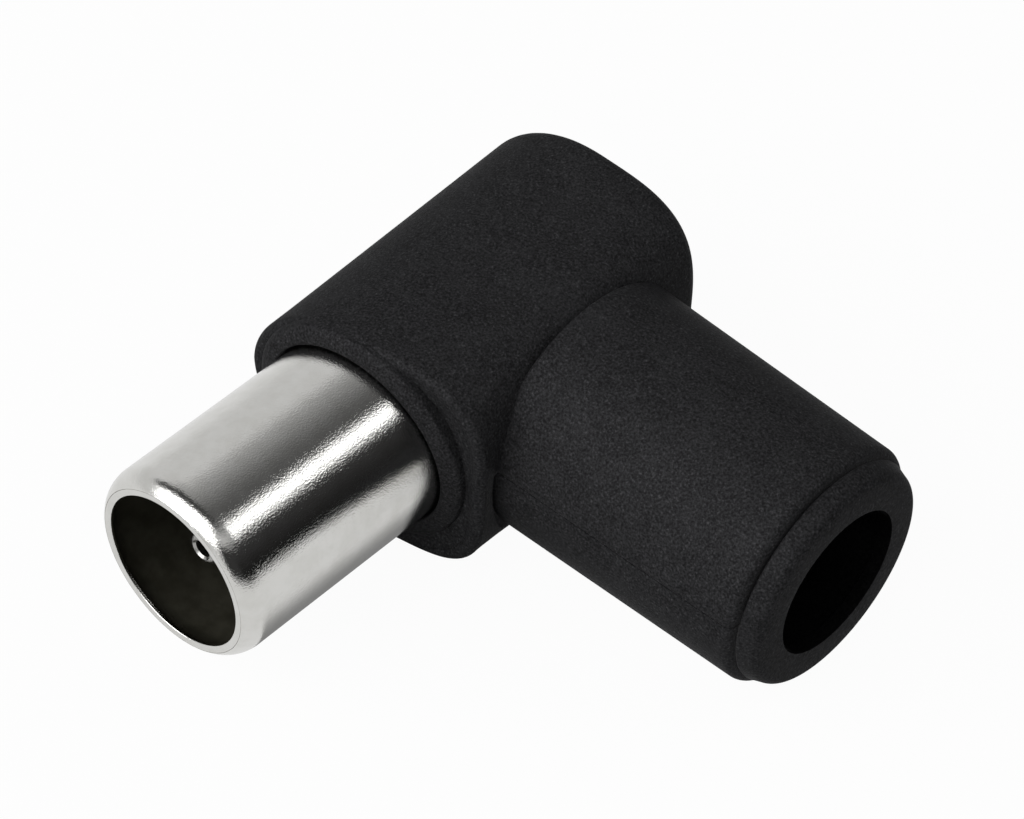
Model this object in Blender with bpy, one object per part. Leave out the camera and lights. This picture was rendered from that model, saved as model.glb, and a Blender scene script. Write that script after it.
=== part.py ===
"""Right-angle coaxial aerial plug with a screw terminal, 9.5 mm outer contact.

Metres, +Z up. The plug lies on its side: the contact sleeve points along -Y, the cable barrel along +X,
and both axes lie in one level plane. Every piece is placed from the point where the two axes cross.
"""

import math

import bmesh
import bpy
from mathutils import Matrix, Vector

# Contact sleeve, a drawn tube with a rolled-in mouth
SLEEVE_OUTER_D = 0.009525
SLEEVE_WALL = 0.0004
SLEEVE_REACH = 0.0199
SLEEVE_SEAT_LENGTH = 0.00355
LIP_TURN_IN = 0.0009
LIP_ROUND_LENGTH = 0.0012
LIP_RIM_WIDTH = 0.00032
LIP_THICKNESS = 0.00045

# Centre pin, a domed hollow pin with a shoulder
PIN_D = 0.00234
PIN_SETBACK = 0.00175
PIN_TIP_HOLE_D = 0.00085
PIN_TIP_HOLE_DEPTH = 0.0030
PIN_TIP_CHAMFER = 0.0001
PIN_DOME_LENGTH = 0.0013
PIN_SHOULDER_D = 0.0032
PIN_SHOULDER_LENGTH = 0.0010
PIN_TAIL_D = 0.0014

# Insulators
FRONT_INSULATOR_GAP = 0.0012
FRONT_INSULATOR_LENGTH = 0.0022
FRONT_INSULATOR_HOLES = 4
FRONT_INSULATOR_HOLE_D = 0.0014
REAR_INSULATOR_WALL = 0.0005
INSULATOR_CHAMFER = 0.0003

# Round collar on the housing's front face, with the sleeve's hole
SLEEVE_HOLE_CLEARANCE = 0.00011
SLEEVE_HOLE_CHAMFER = 0.00015
COLLAR_WIDTH = 0.00093
COLLAR_PROUD = 0.00060
COLLAR_DOME_HEIGHT = 0.00042
COLLAR_LIP_WIDTH = 0.00006
COLLAR_ROOT_DEPTH = 0.0006

# Housing block, a crowned section that grows from the front face to the back. The margins are what the
# block stands out past the collar at the front, and the rises are what it gains by the back.
BLOCK_LEFT_MARGIN = 0.00090
BLOCK_RIGHT_MARGIN = 0.00030
BLOCK_HEIGHT_MARGIN = 0.00006
BLOCK_RIGHT_RISE = 0.00006
BLOCK_HEIGHT_RISE = 0.00076
BLOCK_RIGHT_FLARE = 0.00072
BLOCK_FLARE_FADE = 0.0032
BLOCK_FRONT_LEAD = 0.00042
BLOCK_FRONT_ROUND = 0.00042
BLOCK_BACK_ROUND = 0.00100
BLOCK_BACK_WALL = 0.0024
BLOCK_BORE_CHAMFER = 0.0003
BLOCK_FRONT_LEFT_POWER = 1.76
BLOCK_BACK_LEFT_POWER = 2.1
BLOCK_FRONT_RIGHT_POWER = 3.6
BLOCK_MID_RIGHT_POWER = 6.5
BLOCK_BACK_RIGHT_POWER = 3.2

# Recess beside the collar on the cable's side, as steps inward and back from the crest of its rim
RECESS_STEPS = ((0.00010, 0.00004), (0.00018, 0.00014), (0.00024, 0.00030))

# Cable barrel
BARREL_END_D = 0.01210
BARREL_TAPER = 0.00032
BARREL_LENGTH = 0.0135
BARREL_ROOT_SINK = 0.00025
BARREL_EDGE_ROUND = 0.00030
BARREL_WALL = 0.00120
BARREL_CORE_WALL = 0.00022
BARREL_END_WALL = 0.0018
PASSAGE_LEAD = 0.0006
SPIGOT_STEP = 0.00122
SPIGOT_WALL = 0.00093
SPIGOT_LENGTH = 0.00085
SPIGOT_BEAD_HEIGHT = 0.00015
SPIGOT_BEAD_WIDTH = 0.00010
SPIGOT_BEAD_RAMP = 0.00013

# Clip-on cover that closes the barrel from below
SPLIT_HEIGHT = 0.00085
SEAM_GAP = 0.00008
BARREL_FLANGE = 0.00030
TONGUE_HEIGHT = 0.00070
TONGUE_THICKNESS = 0.00042
TONGUE_POCKET = 0.0003
TONGUE_SETBACK = 0.0004

# End ring
RING_STEP = 0.00013
RING_THICKNESS = 0.00144
RING_GROOVE = 0.00016
RING_EDGE_ROUND = 0.00120
RING_HOLE_STEP = 0.00025
RING_HOLE_CHAMFER = 0.00022
RING_FIT = 0.00012

# Screen elbow and braid claw
ELBOW_WALL = 0.00050
ELBOW_SPIGOT_LENGTH = 0.00204
ELBOW_SLEEVE_OVERLAP = 0.0018
CLAW_THICKNESS = 0.00040
CLAW_CLEARANCE = 0.00024
CLAW_OVERLAP = 0.0012
CLAW_END_GAP = 0.00055
CLAW_LIP = 0.0008
CLAW_BAND_WIDTH = 0.0034
CLAW_TROUGH_REACH_DEG = 8
CLAW_BAND_REACH_DEG = 58

# Inner conductor bar with its terminal screw
BAR_SECTION = 0.0028
BAR_BACK_LENGTH = 0.0016
BAR_PAST_SPIGOT = 0.0036
BAR_WIRE_HOLE_D = 0.0014
BAR_WIRE_HOLE_DEPTH = 0.0036
SCREW_D = 0.0016
SCREW_FROM_END = 0.0018
SCREW_HEAD_D = 0.0022
SCREW_HEAD_HEIGHT = 0.0007
SCREW_SLOT_WIDTH = 0.0004
SCREW_SLOT_DEPTH = 0.0003

# Clearance between inner pieces that touch, and how far a cutter runs past what it cuts
FIT = 0.00030
CUT_PAST = 0.0010
CUT_REACH = 0.030

# Points closer than this are one point
WELD = 1e-6

# Facets
ROUND_STEPS = 56
SMALL_STEPS = 24
HOLE_STEPS = 16
SHEET_STEPS = 28
CORNER_STEPS = 4
BLOCK_STEPS = 8
BLOCK_STEP_POWER = 1.3

# Sizes that follow from those above: radii round the cable's axis, from the outside in
BARREL_END_R = BARREL_END_D / 2
BARREL_ROOT_R = BARREL_END_R + BARREL_TAPER
CHAMBER_R = BARREL_END_R - BARREL_WALL
SPIGOT_R = BARREL_END_R - SPIGOT_STEP
PASSAGE_R = SPIGOT_R - SPIGOT_WALL
RING_HOLE_R = PASSAGE_R - RING_HOLE_STEP
CLAW_INNER_R = CHAMBER_R - CLAW_CLEARANCE - CLAW_THICKNESS
ELBOW_SPIGOT_R = CLAW_INNER_R - SLEEVE_HOLE_CLEARANCE

# Radii round the sleeve's axis, and the block's half sizes
SLEEVE_OUTER_R = SLEEVE_OUTER_D / 2
SLEEVE_INNER_R = SLEEVE_OUTER_R - SLEEVE_WALL
SLEEVE_HOLE_R = SLEEVE_OUTER_R + SLEEVE_HOLE_CLEARANCE
ELBOW_NOSE_R = SLEEVE_INNER_R - SLEEVE_HOLE_CLEARANCE
COLLAR_R = SLEEVE_HOLE_R + COLLAR_WIDTH
BLOCK_LEFT = COLLAR_R + BLOCK_LEFT_MARGIN
BLOCK_FRONT_RIGHT = COLLAR_R + BLOCK_RIGHT_MARGIN
BLOCK_BACK_RIGHT = BLOCK_FRONT_RIGHT + BLOCK_RIGHT_RISE
BLOCK_FRONT_HALF_HEIGHT = COLLAR_R + BLOCK_HEIGHT_MARGIN
BLOCK_BACK_HALF_HEIGHT = BLOCK_FRONT_HALF_HEIGHT + BLOCK_HEIGHT_RISE

# Places along the sleeve's axis, as distances from the crossing towards the mouth or towards the back
SLEEVE_TAIL = ELBOW_SPIGOT_R + ELBOW_WALL
ELBOW_BACK = CHAMBER_R + FIT
BLOCK_FRONT = SLEEVE_TAIL + SLEEVE_SEAT_LENGTH
COLLAR_FACE = BLOCK_FRONT + COLLAR_PROUD
ELBOW_FRONT = SLEEVE_TAIL - FIT
ELBOW_NOSE = ELBOW_FRONT + ELBOW_SLEEVE_OVERLAP
FRONT_INSULATOR_BACK = ELBOW_NOSE + FRONT_INSULATOR_GAP
BORE_BACK = ELBOW_BACK + FIT
BLOCK_BACK = BORE_BACK + BLOCK_BACK_WALL

# Places along the cable's axis
BARREL_ROOT_X = BLOCK_FRONT_RIGHT - BARREL_ROOT_SINK
COVER_FRONT_X = BARREL_ROOT_X + BARREL_FLANGE
BARREL_END_X = BARREL_ROOT_X + BARREL_LENGTH
CHAMBER_END_X = BARREL_END_X - BARREL_END_WALL
TONGUE_END_X = CHAMBER_END_X - TONGUE_SETBACK
SPIGOT_TIP_X = BARREL_END_X + SPIGOT_LENGTH
SPIGOT_BEAD_X = SPIGOT_TIP_X - SPIGOT_BEAD_HEIGHT - SPIGOT_BEAD_WIDTH
RING_INNER_X = BARREL_END_X + RING_GROOVE
RING_FACE_X = RING_INNER_X + RING_THICKNESS
ELBOW_SPIGOT_END_X = SLEEVE_OUTER_R + ELBOW_SPIGOT_LENGTH
CLAW_END_X = CHAMBER_END_X - CLAW_END_GAP
BAR_END_X = ELBOW_SPIGOT_END_X + BAR_PAST_SPIGOT
SCREW_X = BAR_END_X - SCREW_FROM_END

# Turned profiles run along +Z. These turn them to point at the sleeve's mouth and at the cable.
PLUG_AXIS = Matrix(((1, 0, 0), (0, 0, -1), (0, 1, 0))).to_4x4()
CABLE_AXIS = Matrix(((0, 0, 1), (0, 1, 0), (-1, 0, 0))).to_4x4()


def clear_scene():
    for obj in list(bpy.data.objects):
        bpy.data.objects.remove(obj, do_unlink=True)


def finish_material(name, colour, roughness, metallic):
    material = bpy.data.materials.new(name)
    material.use_nodes = True
    shader = material.node_tree.nodes["Principled BSDF"]
    shader.inputs["Base Color"].default_value = (*colour, 1.0)
    shader.inputs["Roughness"].default_value = roughness
    shader.inputs["Metallic"].default_value = metallic
    return material


def shade_round(mesh, sharp_deg=32):
    mesh.shade_smooth()
    mesh.set_sharp_from_angle(angle=math.radians(sharp_deg))


def add_object(name, bm, material=None):
    bmesh.ops.remove_doubles(bm, verts=bm.verts, dist=1e-8)
    bmesh.ops.recalc_face_normals(bm, faces=bm.faces)
    mesh = bpy.data.meshes.new(name)
    bm.to_mesh(mesh)
    bm.free()
    shade_round(mesh)
    obj = bpy.data.objects.new(name, mesh)
    if material:
        mesh.materials.append(material)
    bpy.context.scene.collection.objects.link(obj)
    return obj


def arc(centre_r, centre_t, radius_r, radius_t, start_deg, end_deg, steps=CORNER_STEPS):
    """Points of an elliptical arc in a turned profile, as (radius, distance along the axis)."""
    points = []
    for i in range(steps + 1):
        a = math.radians(start_deg + (end_deg - start_deg) * i / steps)
        points.append((centre_r + radius_r * math.cos(a), centre_t + radius_t * math.sin(a)))
    return points


def circle(steps):
    """Cosine and sine at even steps round a turn, exactly zero where they should be."""
    turns = [2 * math.pi * i / steps for i in range(steps)]
    return [(round(math.cos(a), 12), round(math.sin(a), 12)) for a in turns]


def turned(name, profile, axis, material=None, steps=ROUND_STEPS):
    """Turns a closed profile of (radius, distance) points about an axis, where it closes in one vertex."""
    bm = bmesh.new()
    rings = []
    for radius, along in profile:
        if radius < 1e-7:
            rings.append([bm.verts.new(axis @ Vector((0, 0, along)))])
            continue
        points = [Vector((radius * c, radius * s, along)) for c, s in circle(steps)]
        rings.append([bm.verts.new(axis @ point) for point in points])
    for first, second in zip(rings, rings[1:] + rings[:1]):
        if len(first) == 1 and len(second) == 1:
            continue
        for i in range(steps):
            j = (i + 1) % steps
            corners = [first[i % len(first)], first[j % len(first)]]
            corners += [second[j % len(second)], second[i % len(second)]]
            bm.faces.new(list(dict.fromkeys(corners)))
    return add_object(name, bm, material)


def rod(name, radius, start, end, axis, steps=ROUND_STEPS):
    """Plain round blank or cutter, closed at both ends on the axis."""
    return turned(name, [(0, start), (radius, start), (radius, end), (0, end)], axis, steps=steps)


def box_between(name, low, high, material=None):
    bm = bmesh.new()
    size = Vector(high) - Vector(low)
    centre = (Vector(high) + Vector(low)) / 2
    bmesh.ops.create_cube(bm, size=1, matrix=Matrix.Translation(centre) @ Matrix.Diagonal((*size, 1)))
    return add_object(name, bm, material)


def slab(name, low_z, high_z, start_x=-CUT_REACH, end_x=CUT_REACH):
    """Wide flat cutter between two heights, all along the cable's axis or between two places on it."""
    return box_between(name, (start_x, -CUT_REACH, low_z), (end_x, CUT_REACH, high_z))


def shape_with(target, tool, operation):
    """Joins or cuts the target with the tool, which is taken away when the target is baked."""
    modifier = target.modifiers.new(f"{operation.lower()}_{tool.name}", "BOOLEAN")
    modifier.operation = operation
    modifier.solver = "EXACT"
    modifier.object = tool
    tool.hide_render = True
    tool.display_type = "WIRE"


def remove_tools(obj):
    tools = [modifier.object for modifier in obj.modifiers]
    obj.modifiers.clear()
    for tool in tools:
        remove_tools(tool)
        bpy.data.objects.remove(tool, do_unlink=True)


def bake(obj):
    """Turns the Booleans into the object's own mesh, so that its round faces can be shaded smooth."""
    graph = bpy.context.evaluated_depsgraph_get()
    mesh = bpy.data.meshes.new_from_object(obj.evaluated_get(graph))
    remove_tools(obj)
    bm = bmesh.new()
    bm.from_mesh(mesh)
    bmesh.ops.remove_doubles(bm, verts=bm.verts, dist=WELD)
    bmesh.ops.dissolve_degenerate(bm, edges=bm.edges, dist=WELD)
    bm.to_mesh(mesh)
    bm.free()
    obj.data = mesh
    shade_round(mesh)
    return obj


# Housing


def between(share, start, end):
    return start + share * (end - start)


def block_outline(y):
    """Outline of the block at a depth y: the direction, radius and cable-side share of each point."""
    depth = y + BLOCK_FRONT
    share = depth / (BLOCK_FRONT + BLOCK_BACK)
    half_height = between(share, BLOCK_FRONT_HALF_HEIGHT, BLOCK_BACK_HALF_HEIGHT)
    flare = BLOCK_RIGHT_FLARE * math.exp(-depth / BLOCK_FLARE_FADE)
    right = between(share, BLOCK_FRONT_RIGHT, BLOCK_BACK_RIGHT) + flare
    if share < 0.5:
        right_power = between(2 * share, BLOCK_FRONT_RIGHT_POWER, BLOCK_MID_RIGHT_POWER)
    else:
        right_power = between((2 * share - 1) ** 2, BLOCK_MID_RIGHT_POWER, BLOCK_BACK_RIGHT_POWER)
    left_power = between(share, BLOCK_FRONT_LEFT_POWER, BLOCK_BACK_LEFT_POWER)
    outline = []
    for c, s in circle(ROUND_STEPS):
        reach, power = (right, right_power) if c > 0 else (BLOCK_LEFT, left_power)
        radius = (abs(c / reach) ** power + abs(s / half_height) ** power) ** (-1 / power)
        outline.append((c, s, radius, min(1, max(0, 4 * c - 2))))
    return outline


def outline_loop(y, outline_y, inset=0):
    return [((r - inset) * c, y, (r - inset) * s) for c, s, r, _ in block_outline(outline_y)]


def block_loops():
    """Loops of points from the front, with its recess on the cable's side, to the rounded back edge."""
    front, back = -BLOCK_FRONT, BLOCK_BACK
    loops = []
    rim = [(BLOCK_FRONT_ROUND, 0, inward, deep) for inward, deep in reversed(RECESS_STEPS)]
    for i in range(CORNER_STEPS + 1):
        turn = math.radians(90 * i / CORNER_STEPS)
        rim.append((BLOCK_FRONT_ROUND * (1 - math.sin(turn)), BLOCK_FRONT_ROUND * (1 - math.cos(turn)), 0, 0))
    for inset, depth, inward, deep in rim:
        loop = []
        for c, s, radius, side in block_outline(front):
            r = radius - inset - inward * side
            y = front - BLOCK_FRONT_LEAD * (1 - side) + depth + deep * side
            loop.append((r * c, y, r * s))
        loops.append(loop)

    start, end = front + 2 * BLOCK_FRONT_ROUND, back - BLOCK_BACK_ROUND
    for i in range(BLOCK_STEPS + 1):
        y = start + (end - start) * (i / BLOCK_STEPS) ** BLOCK_STEP_POWER
        loops.append(outline_loop(y, y))
    for i in range(1, CORNER_STEPS + 1):
        turn = math.radians(90 * i / CORNER_STEPS)
        y = end + BLOCK_BACK_ROUND * math.sin(turn)
        loops.append(outline_loop(y, y, BLOCK_BACK_ROUND * (1 - math.cos(turn))))
    return loops


def make_block(name, material):
    bm = bmesh.new()
    loops = [[bm.verts.new(point) for point in loop] for loop in block_loops()]
    for first, second in zip(loops, loops[1:]):
        for i in range(ROUND_STEPS):
            j = (i + 1) % ROUND_STEPS
            bm.faces.new((first[i], first[j], second[j], second[i]))
    middle = bm.verts.new((0, RECESS_STEPS[-1][1] - BLOCK_FRONT, 0))
    for i in range(ROUND_STEPS):
        bm.faces.new((middle, loops[0][i], loops[0][(i + 1) % ROUND_STEPS]))
    bm.faces.new(loops[-1])
    return add_object(name, bm, material)


def barrel_profile():
    """Outside of the barrel, from a core inside the block out to the spigot with its bead."""
    edge = BARREL_EDGE_ROUND
    core_r = CHAMBER_R + BARREL_CORE_WALL
    core_start = BARREL_ROOT_X / 2
    bead_r = SPIGOT_R + SPIGOT_BEAD_HEIGHT
    points = [(0, core_start), (core_r, core_start), (core_r, BARREL_ROOT_X)]
    points += arc(BARREL_ROOT_R - edge / 2, BARREL_ROOT_X + edge / 2, edge / 2, edge / 2, -90, 0, 3)
    points += arc(BARREL_END_R - edge, BARREL_END_X - edge, edge, edge, 0, 90)
    points += [(SPIGOT_R, BARREL_END_X), (SPIGOT_R, SPIGOT_BEAD_X - SPIGOT_BEAD_RAMP)]
    points += [(bead_r, SPIGOT_BEAD_X), (bead_r, SPIGOT_BEAD_X + SPIGOT_BEAD_WIDTH)]
    points += [(SPIGOT_R, SPIGOT_TIP_X), (0, SPIGOT_TIP_X)]
    return points


def barrel_bore_profile():
    """Space inside the barrel: the wiring chamber, then the narrower cable passage."""
    end = SPIGOT_TIP_X + CUT_PAST
    return [(0, 0), (CHAMBER_R, 0), (CHAMBER_R, CHAMBER_END_X), (PASSAGE_R, CHAMBER_END_X + PASSAGE_LEAD),
            (PASSAGE_R, end), (0, end)]


def collar_profile():
    """Round collar with a domed front, tapered at its root inside the block."""
    root = BLOCK_FRONT - COLLAR_ROOT_DEPTH
    lip_r = SLEEVE_HOLE_R + COLLAR_LIP_WIDTH
    points = [(0, 0), (SLEEVE_HOLE_R, 0), (SLEEVE_HOLE_R, root - COLLAR_WIDTH), (COLLAR_R, root)]
    points += arc(lip_r, COLLAR_FACE - COLLAR_DOME_HEIGHT, COLLAR_R - lip_r, COLLAR_DOME_HEIGHT, 0, 90, 6)
    return points + [(0, COLLAR_FACE)]


def sleeve_bore_profile():
    inner, outer = BLOCK_BORE_CHAMFER, SLEEVE_HOLE_CHAMFER
    end = COLLAR_FACE + CUT_PAST
    return [(0, -BORE_BACK), (SLEEVE_HOLE_R - inner, -BORE_BACK), (SLEEVE_HOLE_R, -BORE_BACK + inner),
            (SLEEVE_HOLE_R, COLLAR_FACE - outer / 2), (SLEEVE_HOLE_R + outer, COLLAR_FACE + outer / 2),
            (SLEEVE_HOLE_R + outer, end), (0, end)]


def make_housing(material):
    """Moulded block and upper half of the barrel in one, bored for the sleeve and for the cable."""
    housing = make_block("housing", material)
    shape_with(housing, turned("barrel_blank", barrel_profile(), CABLE_AXIS), "UNION")
    shape_with(housing, turned("collar_blank", collar_profile(), PLUG_AXIS), "UNION")
    bores = turned("sleeve_bore", sleeve_bore_profile(), PLUG_AXIS)
    shape_with(bores, turned("barrel_bore", barrel_bore_profile(), CABLE_AXIS), "UNION")
    shape_with(housing, bores, "DIFFERENCE")

    # Space for the cover, below the split and past the flange
    space = rod("cover_space", BARREL_ROOT_R + FIT, COVER_FRONT_X, SPIGOT_TIP_X + CUT_PAST, CABLE_AXIS)
    shape_with(space, slab("space_top", SPLIT_HEIGHT, CUT_REACH), "DIFFERENCE")
    shape_with(housing, space, "DIFFERENCE")

    # Rebate for the cover's tongues, just above the split
    rebate_r = CHAMBER_R + TONGUE_THICKNESS + SEAM_GAP
    pocket, rebate_end = COVER_FRONT_X - TONGUE_POCKET, TONGUE_END_X + SEAM_GAP
    rebate = rod("tongue_rebate", rebate_r, pocket, rebate_end, CABLE_AXIS)
    band = slab("rebate_band", SPLIT_HEIGHT - TONGUE_HEIGHT / 4, SPLIT_HEIGHT + TONGUE_HEIGHT)
    shape_with(rebate, band, "INTERSECT")
    shape_with(housing, rebate, "DIFFERENCE")
    return bake(housing)


def make_barrel_cover(material):
    """Lower part of the barrel, with two tongues that stand inside the housing's rebate."""
    front = COVER_FRONT_X + SEAM_GAP
    cover = turned("barrel_cover", barrel_profile(), CABLE_AXIS, material)
    shape_with(cover, slab("cover_top", SPLIT_HEIGHT - SEAM_GAP, CUT_REACH), "DIFFERENCE")
    tongue = rod("tongue_blank", CHAMBER_R + TONGUE_THICKNESS, front, TONGUE_END_X, CABLE_AXIS)
    shape_with(tongue, slab("tongue_top", SPLIT_HEIGHT + TONGUE_HEIGHT - SEAM_GAP, CUT_REACH), "DIFFERENCE")
    shape_with(cover, tongue, "UNION")
    shape_with(cover, turned("cover_bore", barrel_bore_profile(), CABLE_AXIS), "DIFFERENCE")
    shape_with(cover, slab("cover_front", -CUT_REACH, CUT_REACH, -CUT_REACH, front), "DIFFERENCE")
    return bake(cover)


def make_end_ring(material):
    """Ring with a broad rounded edge that clips over the spigot's bead and closes the end round the cable."""
    outer_r = BARREL_END_R - RING_STEP
    floor = SPIGOT_TIP_X + RING_FIT
    pocket_r = SPIGOT_R + SPIGOT_BEAD_HEIGHT + RING_FIT
    pocket_start = SPIGOT_BEAD_X - SPIGOT_BEAD_RAMP - RING_FIT
    lip_r = SPIGOT_R + RING_FIT
    edge, chamfer = RING_EDGE_ROUND, RING_HOLE_CHAMFER
    points = [(RING_HOLE_R, floor), (pocket_r, floor), (pocket_r, pocket_start)]
    points += [(lip_r, pocket_start - RING_FIT / 2), (lip_r, RING_INNER_X)]
    points += [(outer_r - chamfer, RING_INNER_X), (outer_r, RING_INNER_X + chamfer)]
    points += arc(outer_r - edge, RING_FACE_X - edge, edge, edge, 0, 90, 7)
    points += [(RING_HOLE_R + chamfer, RING_FACE_X), (RING_HOLE_R, RING_FACE_X - chamfer)]
    return turned("end_ring", points, CABLE_AXIS, material)


# Contacts


def make_contact_sleeve(material):
    """Drawn tube, open at both ends, with its mouth rolled in to a narrow flat rim."""
    hole_r = SLEEVE_OUTER_R - LIP_TURN_IN
    rim_r = hole_r + LIP_RIM_WIDTH
    shoulder = SLEEVE_REACH - LIP_ROUND_LENGTH
    nose = LIP_THICKNESS / 4
    points = [(SLEEVE_INNER_R, SLEEVE_TAIL), (SLEEVE_OUTER_R, SLEEVE_TAIL)]
    points += arc(rim_r, shoulder, SLEEVE_OUTER_R - rim_r, LIP_ROUND_LENGTH, 0, 90, 8)
    points += arc(hole_r + nose, SLEEVE_REACH - nose, -nose, nose, 90, 0, 2)
    points += arc(hole_r, shoulder, SLEEVE_INNER_R - hole_r, LIP_ROUND_LENGTH - LIP_THICKNESS, 90, 0)
    return turned("contact_sleeve", points, PLUG_AXIS, material)


def make_centre_pin(material):
    """Turned pin with a domed, drilled tip, a shoulder behind the front insulator and a thin tail."""
    pin_r, hole_r, tail_r = PIN_D / 2, PIN_TIP_HOLE_D / 2, PIN_TAIL_D / 2
    shoulder_r = PIN_SHOULDER_D / 2
    rim_r = hole_r + PIN_TIP_CHAMFER
    tip = SLEEVE_REACH - PIN_SETBACK
    floor = tip - PIN_TIP_HOLE_DEPTH
    shoulder = FRONT_INSULATOR_BACK - FIT
    points = [(0, -BAR_SECTION / 2), (tail_r, -BAR_SECTION / 2), (tail_r, shoulder - PIN_SHOULDER_LENGTH)]
    points += [(shoulder_r, shoulder - PIN_SHOULDER_LENGTH), (shoulder_r, shoulder), (pin_r, shoulder)]
    points += arc(rim_r, tip - PIN_DOME_LENGTH, pin_r - rim_r, PIN_DOME_LENGTH, 0, 90, 7)
    points += [(hole_r, tip - PIN_TIP_CHAMFER), (hole_r, floor), (0, floor - hole_r)]
    return turned("centre_pin", points, PLUG_AXIS, material, SMALL_STEPS)


def make_front_insulator(material):
    """Disc across the sleeve that holds the pin, with round holes through it."""
    outer_r = SLEEVE_INNER_R - FIT / 2
    bore_r = PIN_D / 2 + FIT / 2
    back = FRONT_INSULATOR_BACK
    face = back + FRONT_INSULATOR_LENGTH
    edge = INSULATOR_CHAMFER
    points = [(bore_r, back), (outer_r - edge, back), (outer_r, back + edge), (outer_r, face - edge)]
    points += [(outer_r - edge, face), (bore_r + edge, face), (bore_r, face - edge)]
    disc = turned("front_insulator", points, PLUG_AXIS, material)
    ring_r = (outer_r + bore_r) / 2
    for i in range(FRONT_INSULATOR_HOLES):
        a = 2 * math.pi * (i + 0.5) / FRONT_INSULATOR_HOLES
        place = Matrix.Translation((ring_r * math.cos(a), 0, ring_r * math.sin(a))) @ PLUG_AXIS
        hole_r = FRONT_INSULATOR_HOLE_D / 2
        hole = rod(f"insulator_hole_{i + 1}", hole_r, back - edge, face + edge, place, HOLE_STEPS)
        shape_with(disc, hole, "DIFFERENCE")
    return bake(disc)


def make_rear_insulator(material):
    """Plastic plug inside the elbow, with a slot for the conductor bar and a bore for the pin's tail."""
    outer_r = ELBOW_NOSE_R - ELBOW_WALL - FIT / 2
    half = BAR_SECTION / 2 + FIT / 2
    back = -ELBOW_BACK + ELBOW_WALL + FIT
    front = half + REAR_INSULATOR_WALL
    edge = INSULATOR_CHAMFER
    points = [(0, back), (outer_r - edge, back), (outer_r, back + edge), (outer_r, front - edge)]
    points += [(outer_r - edge, front), (0, front)]
    plug = turned("rear_insulator", points, PLUG_AXIS, material)
    low, high = (-BAR_BACK_LENGTH - FIT / 2, -half, -half), (outer_r + edge, half, half)
    shape_with(plug, box_between("bar_slot", low, high), "DIFFERENCE")
    tail_bore = rod("tail_bore", PIN_TAIL_D / 2 + FIT / 2, 0, front + edge, PLUG_AXIS, SMALL_STEPS)
    shape_with(plug, tail_bore, "DIFFERENCE")
    return bake(plug)


# Screen


def make_screen_elbow(material):
    """Cast elbow: a cup behind the sleeve, a nose inside its tail and a short side spigot for the cable."""
    floor = -ELBOW_BACK
    points = [(0, floor), (SLEEVE_OUTER_R - ELBOW_WALL, floor), (SLEEVE_OUTER_R, floor + ELBOW_WALL)]
    points += [(SLEEVE_OUTER_R, ELBOW_FRONT), (ELBOW_NOSE_R, ELBOW_FRONT)]
    points += [(ELBOW_NOSE_R, ELBOW_NOSE), (0, ELBOW_NOSE)]
    elbow = turned("screen_elbow", points, PLUG_AXIS, material)
    spigot = rod("elbow_spigot", ELBOW_SPIGOT_R, 0, ELBOW_SPIGOT_END_X, CABLE_AXIS)
    shape_with(elbow, spigot, "UNION")
    inside_r, inside_floor = ELBOW_NOSE_R - ELBOW_WALL, floor + ELBOW_WALL
    hollow = rod("elbow_hollow", inside_r, inside_floor, ELBOW_NOSE + CUT_PAST, PLUG_AXIS)
    shape_with(elbow, hollow, "DIFFERENCE")
    side = rod("elbow_side_bore", ELBOW_SPIGOT_R - ELBOW_WALL, 0, ELBOW_SPIGOT_END_X + CUT_PAST, CABLE_AXIS)
    shape_with(elbow, side, "DIFFERENCE")
    return bake(elbow)


def curved_sheet(name, start_x, end_x, reach_deg, material=None):
    """Sheet bent round the cable's axis and open below, which reaches down past the axis by reach_deg."""
    outer_r = CLAW_INNER_R + CLAW_THICKNESS
    corners = ((start_x, CLAW_INNER_R), (end_x, CLAW_INNER_R), (end_x, outer_r), (start_x, outer_r))
    bm = bmesh.new()
    rows = []
    for i in range(SHEET_STEPS + 1):
        a = math.radians(-reach_deg + (180 + 2 * reach_deg) * i / SHEET_STEPS)
        rows.append([bm.verts.new((x, radius * math.cos(a), radius * math.sin(a))) for x, radius in corners])
    for first, second in zip(rows, rows[1:]):
        for i in range(4):
            j = (i + 1) % 4
            bm.faces.new((first[i], first[j], second[j], second[i]))
    bm.faces.new(rows[0])
    bm.faces.new(rows[-1])
    return add_object(name, bm, material)


def make_braid_claw(material):
    """Bent sheet: a trough over the elbow's spigot, with a wider band that folds round the cable's braid."""
    start = ELBOW_SPIGOT_END_X - CLAW_OVERLAP
    band_end = CLAW_END_X - CLAW_LIP
    claw = curved_sheet("braid_claw", start, CLAW_END_X, CLAW_TROUGH_REACH_DEG, material)
    band = curved_sheet("claw_band", band_end - CLAW_BAND_WIDTH, band_end, CLAW_BAND_REACH_DEG)
    shape_with(claw, band, "UNION")
    return bake(claw)


# Inner conductor


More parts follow.
